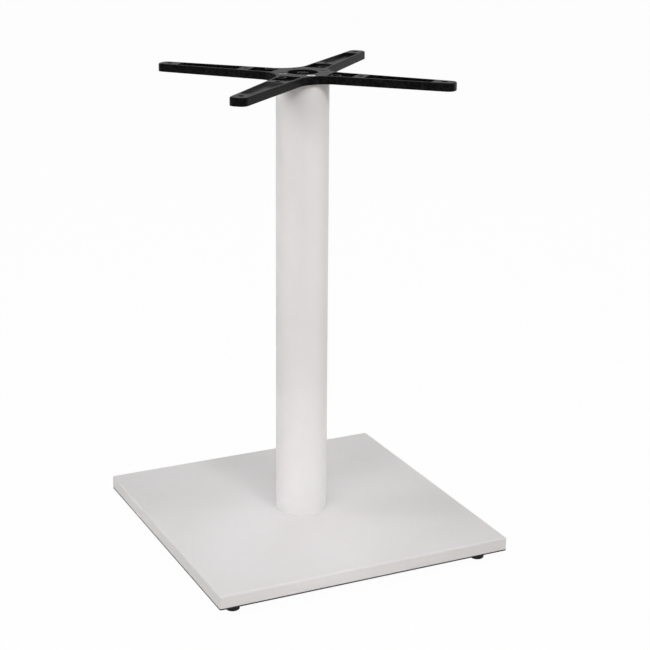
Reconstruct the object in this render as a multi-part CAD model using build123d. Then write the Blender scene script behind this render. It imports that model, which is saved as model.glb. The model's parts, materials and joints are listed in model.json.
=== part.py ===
from build123d import *
import os

# Table base: a square weighted plate on four feet, a round column and a four armed top frame

# Whole object, millimetres, +Z up, floor at zero, column on the Z axis
plate_side = 450.0
overall_height = 700.0
star_span = 450.0

# Rubber feet under the plate
foot_height = 16.5
foot_top_radius = 11.5
foot_bottom_radius = 10.0
foot_edge_chamfer = 1.0
foot_inset = 31.0
foot_offset = plate_side / 2 - foot_inset

# Foot screws and washers
foot_screw_radius = 3.0
foot_screw_head_radius = 5.4
foot_screw_head_height = 2.6
foot_screw_head_edge = 0.9
foot_screw_length = 22.0
foot_screw_tip = 0.8
foot_screw_socket = 4.0
foot_screw_socket_depth = 2.0
foot_washer_radius = 6.0
foot_washer_height = 1.2
foot_screw_recess = 6.0
screw_clearance = 0.2
recess_clearance = 0.6

# Folded steel cover of the plate
cover_height = 18.5
sheet = 1.5
cover_round = 2.6
plate_bottom = foot_height
ballast_lip = 2.8
cover_bottom = plate_bottom + ballast_lip
plate_top = cover_bottom + cover_height
cover_inner_round = cover_round - sheet

# Cast ballast inside the cover
fit_gap = 0.3
ballast_side = plate_side - 2 * sheet - 2 * fit_gap
ballast_height = plate_top - sheet - plate_bottom
ballast_chamfer = 1.4
ballast_corner = cover_inner_round + ballast_chamfer
pocket_columns = 3
pocket_rows = 6
pocket_pitch_x = 140.0
pocket_pitch_y = 70.0
rib = 8.0
pocket_depth = 14.5
pocket_corner = 7.0
pocket_taper = 4.0
foot_boss_radius = 19.0
middle_boss_radius = 30.0

# Tie rod that draws the column down on the plate
rod_radius = 5.0
rod_clearance = 0.5
rod_tip_chamfer = 1.0
nut_flats = 16.0
nut_corners = 18.0
nut_height = 8.4
thin_nut_height = 5.0
nut_chamfer = 0.8
rod_washer_radius = 15.0
rod_washer_height = 2.5
rod_end = 2.0
rod_end_recess = 0.5
nut_recess_radius = 18.0
nut_recess_depth = nut_height + rod_washer_height + rod_end + rod_end_recess
rod_bottom = plate_bottom + rod_end_recess

# Column tube with its two welded discs
column_radius = 38.0
column_wall = 3.2
weld_gap = 0.2
bore_radius = column_radius - column_wall
disc_radius = bore_radius - weld_gap
foot_disc_height = 6.0
plug_height = 8.0

# Four armed top frame, one casting
star_height = 11.5
star_bottom = overall_height - star_height
star_turn = 42.6
arm_reach = star_span / 2
arm_tip_half = 12.5
arm_root_half = 21.0
arm_tip_corner = 10.0
arm_crotch = 40.0
arm_edge_round = 2.0
rim_wall = 3.6
tray_floor = 6.5
tray_corner = 3.0
tray_taper = 3.0
tray_land = 4.0
tip_boss = 32.0
bridge = 17.0
bridge_reach = 88.0
root_hole_reach = 55.0
root_hole_turn = -10.0
root_boss_radius = 7.5
tip_hole_reach = arm_reach - tip_boss / 2
small_hole_radius = 2.75
root_hole_radius = 4.25
countersink_depth = 1.8
outer_tray_start = bridge_reach + bridge / 2
outer_tray_end = arm_reach - tip_boss
inner_tray_start = column_radius + tray_land
inner_tray_end = bridge_reach - bridge / 2

# Hub of the top frame and its screws, which stand halfway between the arms
hub_opening = 21.5
hub_lip = 1.0
nut_sink = 0.5
spigot_top = overall_height - thin_nut_height - nut_sink
spigot_radius = hub_opening - fit_gap
hub_screw_reach = 30.5
hub_screw_turn = 45.0
hub_screw_radius = 3.0
hub_screw_head_radius = 6.6
hub_screw_length = 18.0
hub_screw_socket = 4.0
hub_screw_socket_depth = 2.8
hub_screw_sink = 0.3
rod_top = overall_height - nut_sink


def ring(outer, inner, height, bottom):
    body = Cylinder(outer, height) - Cylinder(inner, height)
    return Pos(0, 0, bottom + height / 2) * body


def hexagon(flats, height, bottom):
    outline = RegularPolygon(flats / 2, 6, major_radius=False)
    return Pos(0, 0, bottom) * extrude(outline, amount=height)


def foot_places():
    # the four feet stand in from the corners
    return GridLocations(2 * foot_offset, 2 * foot_offset, 2, 2)


def base_cover():
    # a sheet tray turned upside down, with bent edges and closed corners
    outer = Pos(0, 0, cover_bottom + cover_height / 2) * Box(plate_side, plate_side, cover_height)
    outer = fillet(outer.edges().filter_by(Axis.Z), cover_round)
    outer = fillet(outer.faces().sort_by(Axis.Z)[-1].edges(), cover_round)
    inner_side = plate_side - 2 * sheet
    inner_height = cover_height - sheet
    inner = Pos(0, 0, cover_bottom + inner_height / 2) * Box(inner_side, inner_side, inner_height)
    inner = fillet(inner.edges().filter_by(Axis.Z), cover_inner_round)
    inner = fillet(inner.faces().sort_by(Axis.Z)[-1].edges(), cover_inner_round)
    hole = Pos(0, 0, plate_top) * Cylinder(rod_radius + rod_clearance, 4 * sheet)
    return outer - inner - hole


def ballast_pockets():
    # tapered pockets lighten the casting and leave bosses for the feet and the tie rod
    outline = RectangleRounded(pocket_pitch_x - rib, pocket_pitch_y - rib, pocket_corner)
    pocket = extrude(outline, amount=pocket_depth, taper=pocket_taper)
    places = GridLocations(pocket_pitch_x, pocket_pitch_y, pocket_columns, pocket_rows)
    pockets = Part() + [place * pocket for place in places]
    bosses = [place * Cylinder(foot_boss_radius, 4 * pocket_depth) for place in foot_places()]
    return pockets - bosses - Cylinder(middle_boss_radius, 4 * pocket_depth)


def ballast_plate():
    middle = plate_bottom + ballast_height / 2
    slab = Pos(0, 0, middle) * Box(ballast_side, ballast_side, ballast_height)
    slab = fillet(slab.edges().filter_by(Axis.Z), ballast_corner)
    slab = chamfer(slab.faces().sort_by(Axis.Z)[-1].edges(), ballast_chamfer)
    slab = slab - Pos(0, 0, plate_bottom) * ballast_pockets()
    recess = Pos(0, 0, plate_bottom) * Cylinder(nut_recess_radius, 2 * nut_recess_depth)
    slab = slab - recess
    slab = slab - Pos(0, 0, middle) * Cylinder(rod_radius + rod_clearance, 2 * ballast_height)
    hole_radius = foot_screw_radius + screw_clearance
    for place in foot_places():
        slab = slab - place * Pos(0, 0, plate_bottom) * Cylinder(hole_radius, 2 * pocket_depth)
    return slab


def foot_pad():
    # a small rubber cone with a deep recess for the screw head
    body = Pos(0, 0, foot_height / 2) * Cone(foot_bottom_radius, foot_top_radius, foot_height)
    body = chamfer(body.edges().sort_by(Axis.Z)[0], foot_edge_chamfer)
    depth = foot_washer_height + foot_screw_head_height + foot_screw_recess
    body = body - Cylinder(foot_washer_radius + recess_clearance, 2 * depth)
    return body - Cylinder(foot_screw_radius + screw_clearance, 3 * foot_height)


def foot_washer():
    bottom = foot_screw_recess + foot_screw_head_height
    return ring(foot_washer_radius, foot_screw_radius + screw_clearance, foot_washer_height, bottom)


def foot_screw():
    # a flat round head with a hexagon socket
    head_middle = foot_screw_recess + foot_screw_head_height / 2
    head = Pos(0, 0, head_middle) * Cylinder(foot_screw_head_radius, foot_screw_head_height)
    head = chamfer(head.edges().sort_by(Axis.Z)[0], foot_screw_head_edge)
    shank_bottom = foot_screw_recess + foot_screw_head_height
    shank_length = foot_screw_length - foot_screw_head_height
    shank = Pos(0, 0, shank_bottom + shank_length / 2) * Cylinder(foot_screw_radius, shank_length)
    shank = chamfer(shank.edges().sort_by(Axis.Z)[-1], foot_screw_tip)
    return head + shank - hexagon(foot_screw_socket, foot_screw_socket_depth, foot_screw_recess)


def column_tube():
    return ring(column_radius, bore_radius, star_bottom - plate_top, plate_top)


def column_foot_disc():
    return ring(disc_radius, rod_radius + rod_clearance, foot_disc_height, plate_top)


def hub_screw_places():
    return PolarLocations(hub_screw_reach, 4, star_turn + hub_screw_turn)


def column_top_plug():
    # welded in the tube, with a spigot that centres the top frame
    disc = Pos(0, 0, star_bottom - plug_height / 2) * Cylinder(disc_radius, plug_height)
    spigot_height = spigot_top - star_bottom
    spigot = Pos(0, 0, star_bottom + spigot_height / 2) * Cylinder(spigot_radius, spigot_height)
    spigot = chamfer(spigot.edges().sort_by(Axis.Z)[-1], hub_lip)
    body = disc + spigot
    body = body - Pos(0, 0, star_bottom) * Cylinder(rod_radius + screw_clearance, 4 * plug_height)
    for place in hub_screw_places():
        hole = Cylinder(hub_screw_radius + screw_clearance / 2, 3 * plug_height)
        body = body - Pos(0, 0, star_bottom) * place * hole
    return body


def tie_rod():
    length = rod_top - rod_bottom
    rod = Pos(0, 0, rod_bottom + length / 2) * Cylinder(rod_radius, length)
    return chamfer(rod.edges().filter_by(GeomType.CIRCLE), rod_tip_chamfer)


def rod_nut(height, bottom):
    # the hexagon's corners are turned off by a cone at both ends
    body = hexagon(nut_flats, height, bottom)
    blank = Pos(0, 0, bottom + height / 2) * Cylinder(nut_corners / 2, height)
    body = body & chamfer(blank.edges().filter_by(GeomType.CIRCLE), nut_chamfer)
    bore = Pos(0, 0, bottom + height / 2) * Cylinder(rod_radius + screw_clearance / 2, 2 * height)
    return body - bore


def rod_washer():
    bottom = plate_bottom + nut_recess_depth - rod_washer_height
    return ring(rod_washer_radius, rod_radius + rod_clearance, rod_washer_height, bottom)


def arm_half_at(reach):
    slope = (arm_root_half - arm_tip_half) / arm_reach
    return arm_root_half - slope * reach


def arm_strip(start, end, inset):
    # plan view of a stretch of arm along +X, set in from both edges
    near = arm_half_at(start) - inset
    far = arm_half_at(end) - inset
    outline = Polyline((start, -near), (end, -far), (end, far), (start, near), close=True)
    return make_face(outline)


def tray_tool(start, end):
    # an open recess in the top of an arm, with drafted walls
    outline = arm_strip(start, end, rim_wall)
    outline = fillet(outline.vertices(), tray_corner)
    depth = star_height - tray_floor
    return Pos(0, 0, overall_height) * extrude(outline, amount=-depth, taper=tray_taper)


def arm_hole(reach, radius):
    # a screw hole through the arm with a countersunk mouth
    hole = Pos(0, 0, star_bottom + star_height / 2) * Cylinder(radius, 2 * star_height)
    mouth_middle = overall_height - countersink_depth / 2
    mouth = Pos(0, 0, mouth_middle) * Cone(radius, radius + countersink_depth, countersink_depth)
    return Pos(reach, 0, 0) * (hole + mouth)


def edge_reach(edge):
    return (edge.center().X ** 2 + edge.center().Y ** 2) ** 0.5


def star_blank():
    plan = arm_strip(0, arm_reach, 0)
    for quarter in (90, 180, 270):
        plan = plan + Rot(0, 0, quarter) * arm_strip(0, arm_reach, 0)
    body = Pos(0, 0, star_bottom) * extrude(plan, amount=star_height)
    crotches = [e for e in body.edges().filter_by(Axis.Z) if edge_reach(e) < bridge_reach]
    body = fillet(crotches, arm_crotch)
    corners = [e for e in body.edges().filter_by(Axis.Z) if edge_reach(e) > tip_hole_reach]
    body = fillet(corners, arm_tip_corner)
    return fillet(body.faces().sort_by(Axis.Z)[-1].edges(), arm_edge_round)


def hub_screw_hole():
    # the cone takes the flat head of the screw
    shank_radius = hub_screw_radius + screw_clearance
    head_radius = hub_screw_head_radius + screw_clearance
    cone_depth = head_radius - shank_radius
    shank = Pos(0, 0, star_bottom) * Cylinder(shank_radius, 4 * star_height)
    cone_middle = overall_height - hub_screw_sink - cone_depth / 2
    cone = Pos(0, 0, cone_middle) * Cone(shank_radius, head_radius, cone_depth)
    mouth = Pos(0, 0, overall_height) * Cylinder(head_radius, 2 * hub_screw_sink)
    return shank + cone + mouth


def arm_cut():
    # everything that is cut from one quarter of the frame
    tools = tray_tool(outer_tray_start, outer_tray_end)
    # a round boss for the bolt stands in the inner tray
    root_place = Rot(0, 0, root_hole_turn) * Pos(root_hole_reach, 0, overall_height)
    boss = root_place * Cylinder(root_boss_radius, 2 * star_height)
    tools = tools + (tray_tool(inner_tray_start, inner_tray_end) - boss)
    tools = tools + arm_hole(tip_hole_reach, small_hole_radius)
    tools = tools + arm_hole(bridge_reach, small_hole_radius)
    tools = tools + Rot(0, 0, root_hole_turn) * arm_hole(root_hole_reach, root_hole_radius)
    return tools + Rot(0, 0, hub_screw_turn) * Pos(hub_screw_reach, 0, 0) * hub_screw_hole()


def top_star():
    body = star_blank()
    cut = arm_cut()
    for quarter in (0, 90, 180, 270):
        body = body - Rot(0, 0, quarter) * cut
    # round opening of the hub with a bevelled lip
    body = body - Pos(0, 0, overall_height) * Cylinder(hub_opening, 4 * star_height)
    lip = Cone(hub_opening, hub_opening + hub_lip, hub_lip)
    body = body - Pos(0, 0, overall_height - hub_lip / 2) * lip
    return Rot(0, 0, star_turn) * body


def hub_screw():
    # flat head flush with the frame, thread in the column's plug
    top = overall_height - hub_screw_sink
    cone_height = hub_screw_head_radius - hub_screw_radius
    cone = Pos(0, 0, top - cone_height / 2)
    cone = cone * Cone(hub_screw_radius, hub_screw_head_radius, cone_height)
    shank = Pos(0, 0, top - hub_screw_length / 2) * Cylinder(hub_screw_radius, hub_screw_length)
    socket = hexagon(hub_screw_socket, hub_screw_socket_depth, top - hub_screw_socket_depth)
    return cone + shank - socket


os.makedirs("parts", exist_ok=True)
export_step(base_cover(), "parts/base_cover.step")
export_step(ballast_plate(), "parts/ballast_plate.step")
export_step(column_tube(), "parts/column_tube.step")
export_step(column_foot_disc(), "parts/column_foot_disc.step")
export_step(column_top_plug(), "parts/column_top_plug.step")
export_step(tie_rod(), "parts/tie_rod.step")
lower_nut_bottom = plate_bottom + nut_recess_depth - rod_washer_height - nut_height
export_step(rod_nut(nut_height, lower_nut_bottom), "parts/tie_rod_lower_nut.step")
export_step(rod_nut(thin_nut_height, spigot_top), "parts/tie_rod_upper_nut.step")
export_step(rod_washer(), "parts/tie_rod_washer.step")
export_step(top_star(), "parts/top_star.step")
for number, place in enumerate(hub_screw_places(), start=1):
    export_step(place * hub_screw(), f"parts/hub_screw_{number}.step")
for number, place in enumerate(foot_places(), start=1):
    export_step(place * foot_pad(), f"parts/foot_pad_{number}.step")
    export_step(place * foot_washer(), f"parts/foot_washer_{number}.step")
    export_step(place * foot_screw(), f"parts/foot_screw_{number}.step")
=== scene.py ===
import json
import math
import bmesh
import bpy
from mathutils import Matrix, Vector


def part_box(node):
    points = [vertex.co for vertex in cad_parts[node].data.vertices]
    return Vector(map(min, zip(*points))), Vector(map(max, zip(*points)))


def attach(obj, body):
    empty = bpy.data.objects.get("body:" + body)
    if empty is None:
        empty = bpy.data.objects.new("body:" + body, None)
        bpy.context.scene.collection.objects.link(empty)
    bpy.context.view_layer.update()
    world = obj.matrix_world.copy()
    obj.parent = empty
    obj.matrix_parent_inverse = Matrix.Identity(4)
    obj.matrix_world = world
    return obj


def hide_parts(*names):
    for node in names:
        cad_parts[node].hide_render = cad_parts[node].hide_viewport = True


# Table base with a square plate, a round column and a star shaped top frame.
# Metres, +Z up, the floor at zero.

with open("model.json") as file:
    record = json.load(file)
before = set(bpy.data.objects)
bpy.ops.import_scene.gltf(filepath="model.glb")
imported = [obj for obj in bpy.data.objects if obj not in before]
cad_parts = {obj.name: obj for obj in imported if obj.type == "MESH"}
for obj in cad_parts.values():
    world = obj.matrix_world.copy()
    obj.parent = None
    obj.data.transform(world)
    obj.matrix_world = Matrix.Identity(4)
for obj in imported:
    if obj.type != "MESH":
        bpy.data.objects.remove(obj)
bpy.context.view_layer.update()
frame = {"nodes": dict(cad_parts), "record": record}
nodes = frame["nodes"]
print("frame loaded:", len(nodes), "nodes")

white = (1.0, 1.0, 1.0, 1.0)
noiseSpan = (0.3, 0.7)  # nearly all of a noise lies between these
noiseMiddle = 0.5
mergeReach = 0.00001  # points nearer than this count as one


def linear(value):  # one channel of a screen colour, 0 to 255, as a shader wants it
    v = value / 255
    return v / 12.92 if v <= 0.04045 else ((v + 0.055) / 1.055) ** 2.4


def screen(r, g, b):
    return (linear(r), linear(g), linear(b), 1.0)


class Wire:  # a node's output that can be used in an expression
    def __init__(self, shader, socket):
        self.shader = shader
        self.socket = socket

    def join(self, operation, *values):
        inputs = dict(enumerate(values))
        return self.shader.node("ShaderNodeMath", {"operation": operation}, inputs)

    def __add__(self, other):
        return self.join("ADD", self, other)

    def __radd__(self, other):
        return self.join("ADD", other, self)

    def __sub__(self, other):
        return self.join("SUBTRACT", self, other)

    def __rsub__(self, other):
        return self.join("SUBTRACT", other, self)

    def __mul__(self, other):
        return self.join("MULTIPLY", self, other)

    def __rmul__(self, other):
        return self.join("MULTIPLY", other, self)

    def __abs__(self):
        return self.join("ABSOLUTE", self)

    def smaller(self, other):
        return self.join("MINIMUM", self, other)

    def larger(self, other):
        return self.join("MAXIMUM", self, other)


class Shader:  # one material and its nodes
    def __init__(self, name, **constants):
        self.owner = bpy.data.materials.new(name)
        self.owner.use_nodes = True
        self.tree = self.owner.node_tree
        self.surface = self.tree.nodes["Principled BSDF"]
        self.place = self.node("ShaderNodeTexCoord", out="Object")
        for socket, value in constants.items():
            self.surface.inputs[socket.replace("_", " ")].default_value = value

    def node(self, kind, settings=None, inputs=None, out=0):
        made = self.tree.nodes.new(kind)
        for key, value in (settings or {}).items():
            setattr(made, key, value)
        for key, value in (inputs or {}).items():
            if isinstance(value, Wire):
                self.tree.links.new(value.socket, made.inputs[key])
            else:
                made.inputs[key].default_value = value
        return Wire(self, made.outputs[out])

    def noise(self, scale, detail, roughness=0.5):
        return self.node("ShaderNodeTexNoise", None, {
            "Vector": self.place, "Scale": scale, "Detail": detail, "Roughness": roughness})

    def spread(self, wire, low, high, toLow=0.0, toHigh=1.0):  # moves one range to another
        return self.node("ShaderNodeMapRange", {"clamp": True}, {
            "Value": wire, "From Min": low, "From Max": high, "To Min": toLow, "To Max": toHigh})

    def vary(self, noise, low, high):  # a noise as a value from low to high
        return self.spread(noise, *noiseSpan, low, high)

    def mix(self, factor, first, second):  # 6, 7 and 2 are the Mix node's sockets for colours
        return self.node("ShaderNodeMix", {"data_type": "RGBA"},
                         {0: factor, 6: first, 7: second}, out=2)

    def bump(self, height, strength, distance):
        return self.node("ShaderNodeBump", None, {
            "Strength": strength, "Distance": distance, "Height": height})

    def axes(self):  # the three coordinates of a point on the surface
        return [self.node("ShaderNodeSeparateXYZ", None, {0: self.place}, out=axis)
                for axis in "XYZ"]

    def feed(self, **sockets):  # links what changes over the surface
        for socket, wire in sockets.items():
            self.tree.links.new(wire.socket, self.surface.inputs[socket.replace("_", " ")])
        return self.owner


# Finishes. Each noise is given as scale, detail and roughness, each bump as strength and height.
coat = {
    "colour": screen(221, 219, 219),
    "shade": screen(217, 215, 214),
    "shadeSpan": (0.35, 0.7),  # values of the cloud between which it turns to the shade
    "roughness": (0.36, 0.44),
    "cloud": (7.0, 4.0),
    "cloudShare": 0.6,  # what it gives to the roughness
    "grain": (2600.0, 1.0),
    "grainShare": 0.4,
    "peel": (700.0, 2.0, 0.45),
    "bump": (0.4, 0.00003),
}


def powderCoat():  # light powder coat with a faint orange peel and a little unevenness
    sh = Shader("lightPowderCoat", IOR=1.5)
    cloud = sh.noise(*coat["cloud"])
    grain = sh.noise(*coat["grain"])
    colour = sh.mix(sh.spread(cloud, *coat["shadeSpan"]), coat["colour"], coat["shade"])
    rough = sh.vary(cloud * coat["cloudShare"] + grain * coat["grainShare"], *coat["roughness"])
    normal = sh.bump(sh.noise(*coat["peel"]), *coat["bump"])
    return sh.feed(Base_Color=colour, Roughness=rough, Normal=normal)


trays = {  # where dust and painted light lie in the top frame, metres
    "turn": 42.6,  # degrees from the X axis to the first pair of arms
    "half": 0.0176,  # half the width that a tray would have at the hub's middle
    "taper": 0.0378,  # what it loses for each metre outwards
    "outer": (0.14475, 0.0485),  # middle and half length
    "inner": (0.06075, 0.019),
    "edge": 0.0004,  # width of the soft edge round a tray
    "floor": 0.695,
    "floorFade": (0.0003, 0.0007),  # distances from the floor's height between which its dust and painted light end
    "rim": (0.6992, 0.6995),  # heights between which the walls' painted light ends
    "armFade": 0.001,  # width of the soft edge between the two pairs of arms
    "wallFade": (0.145, 0.175),  # distances along the far arm between which its walls' painted light thins
    "wallRest": 0.1,  # what is left of it past them
    "patch": (70.0, 4.0, 0.6),
    "patchy": (0.15, 0.55),  # least and most dust and painted light on a floor
}


def trayDustAndPaintedLight(sh):  # dust and painted light on every tray's floor, and painted light up the outer trays' walls in the first pair of arms
    x, y, z = sh.axes()
    turn = math.radians(trays["turn"])
    along = x * math.cos(turn) + y * math.sin(turn)
    first = abs(along)
    second = abs(y * math.cos(turn) - x * math.sin(turn))
    reach = first.larger(second)
    aside = first.smaller(second)
    between = sh.spread(trays["half"] - reach * trays["taper"] - aside, 0.0, trays["edge"])
    outer, inner = [sh.spread(abs(reach - middle), half, half + trays["edge"], 1.0, 0.0)
                    for middle, half in (trays["outer"], trays["inner"])]
    patch = sh.vary(sh.noise(*trays["patch"]), *trays["patchy"])
    # dust and painted light on the tray floors, in patches
    floor = sh.spread(abs(z - trays["floor"]), *trays["floorFade"], 1.0, 0.0) * (outer + inner)
    # painted light: the outer trays' walls in the first pair of arms get the lighter grey, as if
    # lit
    wall = sh.spread(z, *trays["rim"], 1.0, 0.0) * outer
    wall = wall * sh.spread(first - second, 0.0, trays["armFade"])
    wall = wall * sh.spread(along, *trays["wallFade"], 1.0, trays["wallRest"])
    return between * wall.larger(floor * patch)


black = {
    "colour": screen(2, 2, 2),
    "shade": screen(22, 22, 22),
    "shadeSpan": (0.42, 0.68),
    # the lighter grey in the trays: dust and painted light
    "dustAndPaintedLight": screen(58, 57, 57),
    "dustAndLightLift": 0.5,  # added to the mottle where it thins the dust and painted light
    "gloss": 0.05,
    "roughness": (0.3, 0.5),
    "cast": (420.0, 4.0, 0.6),
    "castShares": (0.3, 0.6),  # what it gives to the roughness and to the bump
    "mottle": (190.0, 5.0, 0.62),
    "mottleShares": (0.7, 0.6),
    "pits": (1500.0, 2.0, 0.5),
    "pitsShare": 0.2,
    "bump": (0.6, 0.00016),
}


def blackCoat():  # black stoved paint over a sand cast surface, mottled, with dust and painted light in its trays
    sh = Shader("blackStovedPaint", IOR=1.5, Specular_IOR_Level=black["gloss"])
    cast = sh.noise(*black["cast"])
    mottle = sh.noise(*black["mottle"])
    castRough, castBump = black["castShares"]
    mottleRough, mottleBump = black["mottleShares"]
    paint = sh.mix(sh.spread(mottle, *black["shadeSpan"]), black["colour"], black["shade"])
    # the trays take the lighter grey: dust and painted light
    colour = sh.mix(trayDustAndPaintedLight(sh) * (mottle + black["dustAndLightLift"]), paint, black["dustAndPaintedLight"])
    rough = sh.vary(cast * castRough + mottle * mottleRough, *black["roughness"])
    pits = sh.noise(*black["pits"]) * black["pitsShare"]
    normal = sh.bump(cast * castBump + mottle * mottleBump + pits, *black["bump"])
    return sh.feed(Base_Color=colour, Roughness=rough, Normal=normal)


heads = {  # the hub's screws: the front head keeps a bright colour, a painted highlight, and the others get a dark one, painted shade; metres
    "highlightHead": screen(216, 216, 214),
    "shadedHead": screen(34, 34, 34),
    "dirtAndShade": screen(26, 25, 24),
    "dirtAndShadeShare": 0.9,
    "direction": (0.37, 0.93),
    "highlightEdge": (-0.026, -0.006),  # where the painted shade on the heads starts and where it is full, along the direction
    "edgeWobble": (220.0, 4.0),
    "edgeWobbleReach": 0.006,
    "socket": (0.6988, 0.6994),  # heights between which the dirt and painted shade in the socket end
    "scratch": (1800.0, 2.0),
    "scratchShare": 0.3,
    "roughSpan": (0.0, 1.3),
    "roughness": (0.24, 0.5),
    "bump": (0.2, 0.00002),
}


def zincWithPaintedLight():
    # zinc screw heads: painted highlight on the front one, painted shade on the others, dirt and
    # painted shade in the sockets
    sh = Shader("zincWithPaintedLight", Metallic=1.0)
    scratch = sh.noise(*heads["scratch"])
    edgeWobble = sh.noise(*heads["edgeWobble"])
    x, y, z = sh.axes()
    alongX, alongY = heads["direction"]
    # the border between the front head's painted highlight and the others' painted shade, made
    # uneven by a noise
    across = y * alongY + x * alongX + (edgeWobble - noiseMiddle) * heads["edgeWobbleReach"]
    # paint is 0 on the front head's painted highlight and 1 where the painted shade is full
    paint = sh.spread(across, *heads["highlightEdge"])
    # darker in the socket: dirt and painted shade
    dirtAndShade = sh.spread(z, *heads["socket"], 1.0, 0.0)
    head = sh.mix(paint, heads["highlightHead"], heads["shadedHead"])
    colour = sh.mix(dirtAndShade * heads["dirtAndShadeShare"], head, heads["dirtAndShade"])
    rough = paint + scratch * heads["scratchShare"] + dirtAndShade
    rough = sh.spread(rough, *heads["roughSpan"], *heads["roughness"])
    normal = sh.bump(scratch, *heads["bump"])
    return sh.feed(Base_Color=colour, Roughness=rough, Normal=normal)


plainFinishes = {
    "cast_iron": {  # painted grey iron with the grain of the sand mould
        "name": "castIron",
        "constants": {"IOR": 1.5, "Specular_IOR_Level": 0.35},
        "colours": (screen(30, 30, 31), screen(46, 44, 42)),
        "cloud": (14.0, 4.0),
        "cloudSpan": noiseSpan,
        "grain": (420.0, 5.0, 0.65),
        "roughness": (0.58, 0.8),
        "bump": (0.8, 0.0002),
    },
    "zinc_steel": {
        "name": "zincPlate",
        "constants": {"Metallic": 1.0},
        "colours": (screen(196, 197, 196), screen(172, 172, 168)),
        "cloud": (160.0, 3.0),
        "cloudSpan": noiseSpan,
        "grain": (1800.0, 2.0),
        "roughness": (0.26, 0.42),
        "bump": (0.2, 0.00002),
    },
    "black_steel": {  # rod, nuts and plug, dull and a little dusty
        "name": "blackSteel",
        "constants": {"IOR": 1.5, "Specular_IOR_Level": 0.06},
        "colours": (screen(14, 14, 15), screen(27, 26, 26)),
        "cloud": (60.0, 4.0),
        "cloudSpan": (0.35, 0.7),
        "grain": (300.0, 3.0),
        "roughness": (0.55, 0.7),
        "bump": (0.2, 0.00003),
    },
    "rubber": {
        "name": "rubber",
        "constants": {"IOR": 1.5, "Specular_IOR_Level": 0.3},
        "colours": (screen(18, 18, 19), screen(30, 30, 30)),
        "cloud": (900.0, 3.0),
        "cloudSpan": noiseSpan,
        "grain": (900.0, 3.0),
        "roughness": (0.6, 0.78),
        "bump": (0.5, 0.00005),
    },
}


def plainFinish(look):  # two clouded colours, with one grain for the roughness and the bump
    sh = Shader(look["name"], **look["constants"])
    grain = sh.noise(*look["grain"])
    cloud = sh.spread(sh.noise(*look["cloud"]), *look["cloudSpan"])
    colour = sh.mix(cloud, *look["colours"])
    rough = sh.vary(grain, *look["roughness"])
    return sh.feed(Base_Color=colour, Roughness=rough, Normal=sh.bump(grain, *look["bump"]))


def dress(piece, material):
    piece.data.materials.clear()
    piece.data.materials.append(material)


finishes = {"light_powder_coat": powderCoat(), "black_coat": blackCoat()}
for slot, look in plainFinishes.items():
    finishes[slot] = plainFinish(look)
hubZinc = zincWithPaintedLight()
slots = {row["node"]: row["material_slot"] for row in frame["record"]["subparts"]}
for name, slot in slots.items():
    dress(nodes[name], hubZinc if name.startswith("hub_screw") else finishes[slot])
print("finishes on the frame's nodes")


# Pieces that stand for nodes of the frame
def addObject(name, data):
    thing = bpy.data.objects.new(name, data)
    bpy.context.scene.collection.objects.link(thing)
    return thing


def addMesh(name, bm):
    mesh = bpy.data.meshes.new(name)
    bm.to_mesh(mesh)
    bm.free()
    return addObject(name, mesh)


def finishPiece(name, bm, replaced):
    piece = addMesh(name, bm)
    for face in piece.data.polygons:
        face.use_smooth = True
    even = piece.modifiers.new("evenNormals", "WEIGHTED_NORMAL")
    even.keep_sharp = True
    dress(piece, finishes[slots[replaced]])
    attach(piece, "root")
    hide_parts(replaced)


def bevelEdges(bm, edges, width, steps):
    bmesh.ops.bevel(bm, geom=edges, offset=width, offset_type="OFFSET", segments=steps,
                    profile=0.5, affect="EDGES", clamp_overlap=True, loop_slide=True, material=-1)


def spinProfile(points, look):  # rounds an outline of radii and heights, then turns it round Z
    bm = bmesh.new()
    verts = [bm.verts.new((radius, 0, height)) for radius, height in points]
    for pair in zip(verts, verts[1:] + verts[:1]):
        bm.edges.new(pair)
    bmesh.ops.bevel(bm, geom=bm.verts[:], offset=look["round"], offset_type="OFFSET",
                    segments=look["roundSteps"], profile=0.5, affect="VERTICES",
                    clamp_overlap=True, material=-1)
    bmesh.ops.spin(bm, geom=bm.verts[:] + bm.edges[:], axis=(0, 0, 1), cent=(0, 0, 0),
                   angle=math.tau, steps=look["turnSteps"], use_merge=True)
    bmesh.ops.recalc_face_normals(bm, faces=bm.faces)
    return bm


cover = {
    "sheet": 0.0015,
    "round": 0.0026,
    "roundSteps": 6,
    "rimRound": 0.0004,
    "rimSteps": 2,
    "rimAbove": 57.0,  # degrees between two faces that make an edge of the rim
}


def makeCover():  # folded steel cover with soft bends all round, open below
    low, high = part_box("base_cover")
    bm = bmesh.new()
    bmesh.ops.create_cube(bm, size=1.0)
    bmesh.ops.scale(bm, vec=high - low, verts=bm.verts)
    bmesh.ops.translate(bm, vec=(low + high) / 2, verts=bm.verts)
    lowest = min(bm.faces, key=lambda f: f.calc_center_median().z)
    bmesh.ops.delete(bm, geom=[lowest], context="FACES")
    bends = [e for e in bm.edges if len(e.link_faces) == 2]
    bevelEdges(bm, bends, cover["round"], cover["roundSteps"])
    bmesh.ops.recalc_face_normals(bm, faces=bm.faces)
    bmesh.ops.solidify(bm, geom=bm.faces[:], thickness=cover["sheet"])
    limit = math.radians(cover["rimAbove"])
    rim = [e for e in bm.edges if e.calc_face_angle(0) > limit
           and max(v.co.z for v in e.verts) < low.z + mergeReach]
    bevelEdges(bm, rim, cover["rimRound"], cover["rimSteps"])
    finishPiece("baseCover", bm, "base_cover")


column = {"wall": 0.0032, "round": 0.0004, "roundSteps": 3, "turnSteps": 128}


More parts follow.
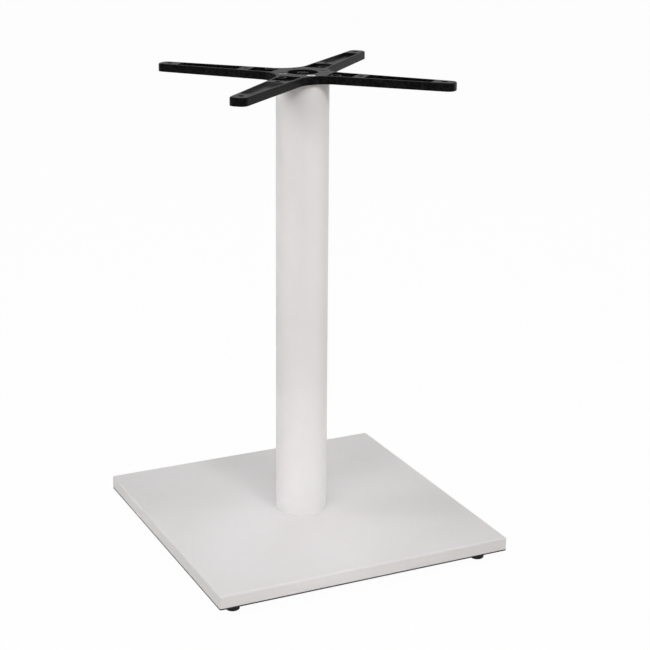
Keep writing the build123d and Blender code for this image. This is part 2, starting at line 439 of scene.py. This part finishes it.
def makeColumn():
    low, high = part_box("column_tube")
    inner = high.x - column["wall"]
    outline = [(high.x, low.z), (high.x, high.z), (inner, high.z), (inner, low.z)]
    finishPiece("columnTube", spinProfile(outline, column), "column_tube")


pad = {
    "count": 4,
    "bottomRadius": 0.010,
    "recessRadius": 0.0066,
    "recessDepth": 0.0098,
    "holeRadius": 0.0032,
    "round": 0.0009,
    "roundSteps": 3,
    "turnSteps": 48,
}


def makePad(number):  # moulded rubber foot with a deep recess for its screw
    node = "foot_pad_%d" % number
    low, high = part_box(node)
    middle = (low + high) / 2
    recess = low.z + pad["recessDepth"]
    outline = [
        (pad["recessRadius"], low.z), (pad["bottomRadius"], low.z),
        (high.x - middle.x, high.z), (pad["holeRadius"], high.z),
        (pad["holeRadius"], recess), (pad["recessRadius"], recess),
    ]
    bm = spinProfile(outline, pad)
    bmesh.ops.translate(bm, vec=(middle.x, middle.y, 0), verts=bm.verts)
    finishPiece("footPad%d" % number, bm, node)


lip = {  # the ballast's edge that shows as a dark line under the cover, metres
    "wall": 0.2232,  # half width of the node
    "reach": 0.2249,  # half width of the line
    "foot": 0.2208,  # half width at the bottom
    "ledge": 0.0192,
    "top": 0.0191,
    "bottom": 0.0175,
    "wallReach": 0.0006,  # how far inside the wall a point may lie and still belong to it
    "heightReach": 0.00005,
    "cutReach": 0.000001,
    "upright": 0.1,  # largest rise of the normal of an upright face
}


def onWall(point):
    return max(abs(point.x), abs(point.y)) > lip["wall"] - lip["wallReach"]


def shapeLip(bm):  # cuts the outer wall at three heights, then scales the bands between
    for height in (lip["ledge"], lip["top"], lip["bottom"]):
        wall = [f for f in bm.faces
                if onWall(f.calc_center_median()) and abs(f.normal.z) < lip["upright"]]
        around = {e for f in wall for e in f.edges} | {v for f in wall for v in f.verts}
        bmesh.ops.bisect_plane(bm, geom=wall + list(around), dist=lip["cutReach"],
                               plane_co=(0, 0, height), plane_no=(0, 0, 1))
    edge = [v for v in bm.verts if onWall(v.co) and v.co.z < lip["ledge"] - lip["heightReach"]]
    foot = [v for v in edge if v.co.z < lip["bottom"] - lip["heightReach"]]
    band = [v for v in edge if v not in foot]
    for verts, reach in ((band, lip["reach"]), (foot, lip["foot"])):
        share = reach / lip["wall"]
        bmesh.ops.scale(bm, vec=(share, share, 1.0), verts=verts)
    kept = {e for v in edge for e in v.link_edges}
    for e in kept:
        e.smooth = False
    print("lip shaped:", len(band), "points in its band,", len(foot), "at its foot")
    return kept


castings = {  # pieces with the edges that a mould and paint leave, metres and degrees
    "topStar": {
        "node": "top_star", "lip": False,
        "edge": 0.0005, "edgeSteps": 2, "sharpAbove": 35.0, "flatBelow": 1.0},
    "ballastPlate": {
        "node": "ballast_plate", "lip": True,
        "edge": 0.0008, "edgeSteps": 2, "sharpAbove": 35.0, "flatBelow": 1.0},
}


def makeCasting(name, casting):
    bm = bmesh.new()
    bm.from_mesh(nodes[casting["node"]].data)
    bmesh.ops.remove_doubles(bm, verts=bm.verts, dist=mergeReach)
    bmesh.ops.dissolve_limit(bm, angle_limit=math.radians(casting["flatBelow"]),
                             verts=bm.verts, edges=bm.edges)
    limit = math.radians(casting["sharpAbove"])
    kept = shapeLip(bm) if casting["lip"] else set()
    sharp = [e for e in bm.edges if e.calc_face_angle(0) > limit and e not in kept]
    bevelEdges(bm, sharp, casting["edge"], casting["edgeSteps"])
    print(name, "edges broken:", len(sharp), "faces:", len(bm.faces))
    finishPiece(name, bm, casting["node"])


makeCover()
makeColumn()
for number in range(1, pad["count"] + 1):
    makePad(number)
for name, casting in castings.items():
    makeCasting(name, casting)
print("modelled pieces placed")


# Floor, light and camera
stage = {
    "floorSize": 14.0,
    "floorColour": screen(228, 225, 221),
    "floorRoughness": 0.9,
    "floorGloss": 0.1,
    "floorGlow": 0.975,  # share that shines by itself, for the camera and in reflections
    "room": 0.26,  # level of the light from all round
}


def seenDirectly(sh):  # 1 for rays from the camera, a mirror or glass, 0 for light on the object
    camera, mirror, glass = [sh.node("ShaderNodeLightPath", out="Is %s Ray" % ray)
                             for ray in ("Camera", "Glossy", "Transmission")]
    return (camera + mirror + glass).smaller(1.0)


def makeFloor():
    bm = bmesh.new()
    bmesh.ops.create_grid(bm, x_segments=1, y_segments=1, size=stage["floorSize"] / 2)
    floor = addMesh("floor", bm)
    sh = Shader("paperFloor", Base_Color=stage["floorColour"], Roughness=stage["floorRoughness"],
                Specular_IOR_Level=stage["floorGloss"])
    paper = Wire(sh, sh.surface.outputs[0])
    glow = sh.node("ShaderNodeEmission", None, {"Color": white, "Strength": 1.0})
    share = seenDirectly(sh) * stage["floorGlow"]
    blend = sh.node("ShaderNodeMixShader", None, {0: share, 1: paper, 2: glow})
    sh.tree.links.new(blend.socket, sh.tree.nodes["Material Output"].inputs["Surface"])
    dress(floor, sh.owner)


class Room(Shader):  # the world and its nodes
    def __init__(self):
        self.owner = bpy.data.worlds.new("paperRoom")
        self.owner.use_nodes = True
        self.tree = self.owner.node_tree
        self.surface = self.tree.nodes["Background"]


def makeRoom():
    sh = Room()
    sh.surface.inputs["Color"].default_value = white
    level = seenDirectly(sh) * (1.0 - stage["room"]) + stage["room"]
    bpy.context.scene.world = sh.feed(Strength=level)


# Power in watts, spread in degrees. Only a mirrored one shows in glossy surfaces.
softboxes = {
    "softboxTop": {"place": (-0.75, -1.5, 2.4), "aim": (0, 0, 0.1), "size": (1.2, 1.2),
                   "power": 15.0},
    "softboxLeft": {"place": (-1.9, -1.2, 1.5), "aim": (0, 0, 0.3), "size": (0.4, 0.4),
                    "power": 12.4},
    "softboxFront": {"place": (0.2, -1.7, 2.1), "aim": (0, 0, 0.3), "size": (0.4, 0.4),
                     "power": 14.6},
    "softboxRight": {"place": (2.1, -1.6, 1.5), "aim": (0, 0, 0.3), "size": (1.2, 1.4),
                     "power": 12.6, "mirrored": True},
    "softboxBackLeft": {"place": (-1.9, 0.8, 1.8), "aim": (0, 0, 0.3), "size": (0.6, 0.6),
                        "power": 9.4},
    "softboxBack": {"place": (1.2, 2.0, 1.9), "aim": (0, 0, 0.3), "size": (1.4, 1.4),
                    "power": 3.4},
    # soft pools of light on the plate's front, the column and its foot
    "poolFront": {"place": (-0.75, -1.7, 1.35), "aim": (-0.03, -0.07, 0.08), "size": (0.2, 0.2),
                  "power": 0.064, "spread": 11.0},
    "poolColumn": {"place": (-0.85, -1.95, 1.2), "aim": (0, 0, 0.38), "size": (0.3, 0.3),
                   "power": 0.03, "spread": 14.0},
    "poolFoot": {"place": (-0.9, -2.1, 0.5), "aim": (0, 0, 0.08), "size": (0.15, 0.15),
                 "power": 0.0038, "spread": 8.0},
    # light from both sides on the column's edges
    "edgeFootLeft": {"place": (-2.0, 0.9, 0.12), "aim": (0, 0, 0.1), "size": (0.15, 0.15),
                     "power": 0.022, "spread": 7.0},
    "edgeFootRight": {"place": (2.0, -0.9, 0.12), "aim": (0, 0, 0.1), "size": (0.15, 0.15),
                      "power": 0.011, "spread": 7.5},
    "edgeHeadLeft": {"place": (-2.0, 0.9, 0.5), "aim": (0, 0, 0.52), "size": (0.15, 0.15),
                     "power": 0.08, "spread": 18.0},
    "edgeHeadRight": {"place": (2.0, -0.9, 0.5), "aim": (0, 0, 0.49), "size": (0.15, 0.15),
                      "power": 0.042, "spread": 18.0},
}


def makeSoftbox(name, place, aim, size, power, spread=180.0, mirrored=False):
    lamp = bpy.data.lights.new(name, "AREA")
    lamp.shape = "RECTANGLE"
    lamp.size, lamp.size_y = size
    lamp.energy = power
    lamp.spread = math.radians(spread)
    softbox = addObject(name, lamp)
    softbox.location = place
    softbox.rotation_mode = "QUATERNION"
    softbox.rotation_quaternion = (Vector(aim) - Vector(place)).to_track_quat("-Z", "Y")
    softbox.visible_glossy = mirrored


cameraAt = {
    "place": (-0.9707, -2.08108, 1.0728),
    "azimuth": 24.208,
    "pitch": 15.933,
    "roll": -0.018,
    "focal": 1640.84,  # this, the centre and the frame in pixels of the photo's frame
    "centre": (280.0, 265.0),
    "frame": 650.0,
    "sensor": 36.0,  # millimetres
    "clip": (0.05, 50.0),
}


def makeCamera():
    data = bpy.data.cameras.new("camera")
    camera = addObject("camera", data)
    bpy.context.scene.camera = camera
    azimuth = math.radians(cameraAt["azimuth"])
    pitch = math.radians(cameraAt["pitch"])
    roll = math.radians(cameraAt["roll"])
    ahead = Vector((math.sin(azimuth) * math.cos(pitch), math.cos(azimuth) * math.cos(pitch),
                    -math.sin(pitch)))
    level = Vector((math.cos(azimuth), -math.sin(azimuth), 0))
    upright = level.cross(ahead)
    right = level * math.cos(roll) + upright * math.sin(roll)
    above = upright * math.cos(roll) - level * math.sin(roll)
    pose = Matrix((right, above, -ahead)).transposed().to_4x4()
    pose.translation = Vector(cameraAt["place"])
    camera.matrix_world = pose
    size = cameraAt["frame"]
    data.sensor_width = cameraAt["sensor"]
    data.lens = cameraAt["focal"] * data.sensor_width / size
    data.shift_x = (size / 2 - cameraAt["centre"][0]) / size
    data.shift_y = (cameraAt["centre"][1] - size / 2) / size
    data.clip_start, data.clip_end = cameraAt["clip"]


makeFloor()
makeRoom()
for name, box in softboxes.items():
    makeSoftbox(name, **box)
makeCamera()
bpy.context.scene.view_settings.view_transform = "Standard"
print("floor, light and camera placed")
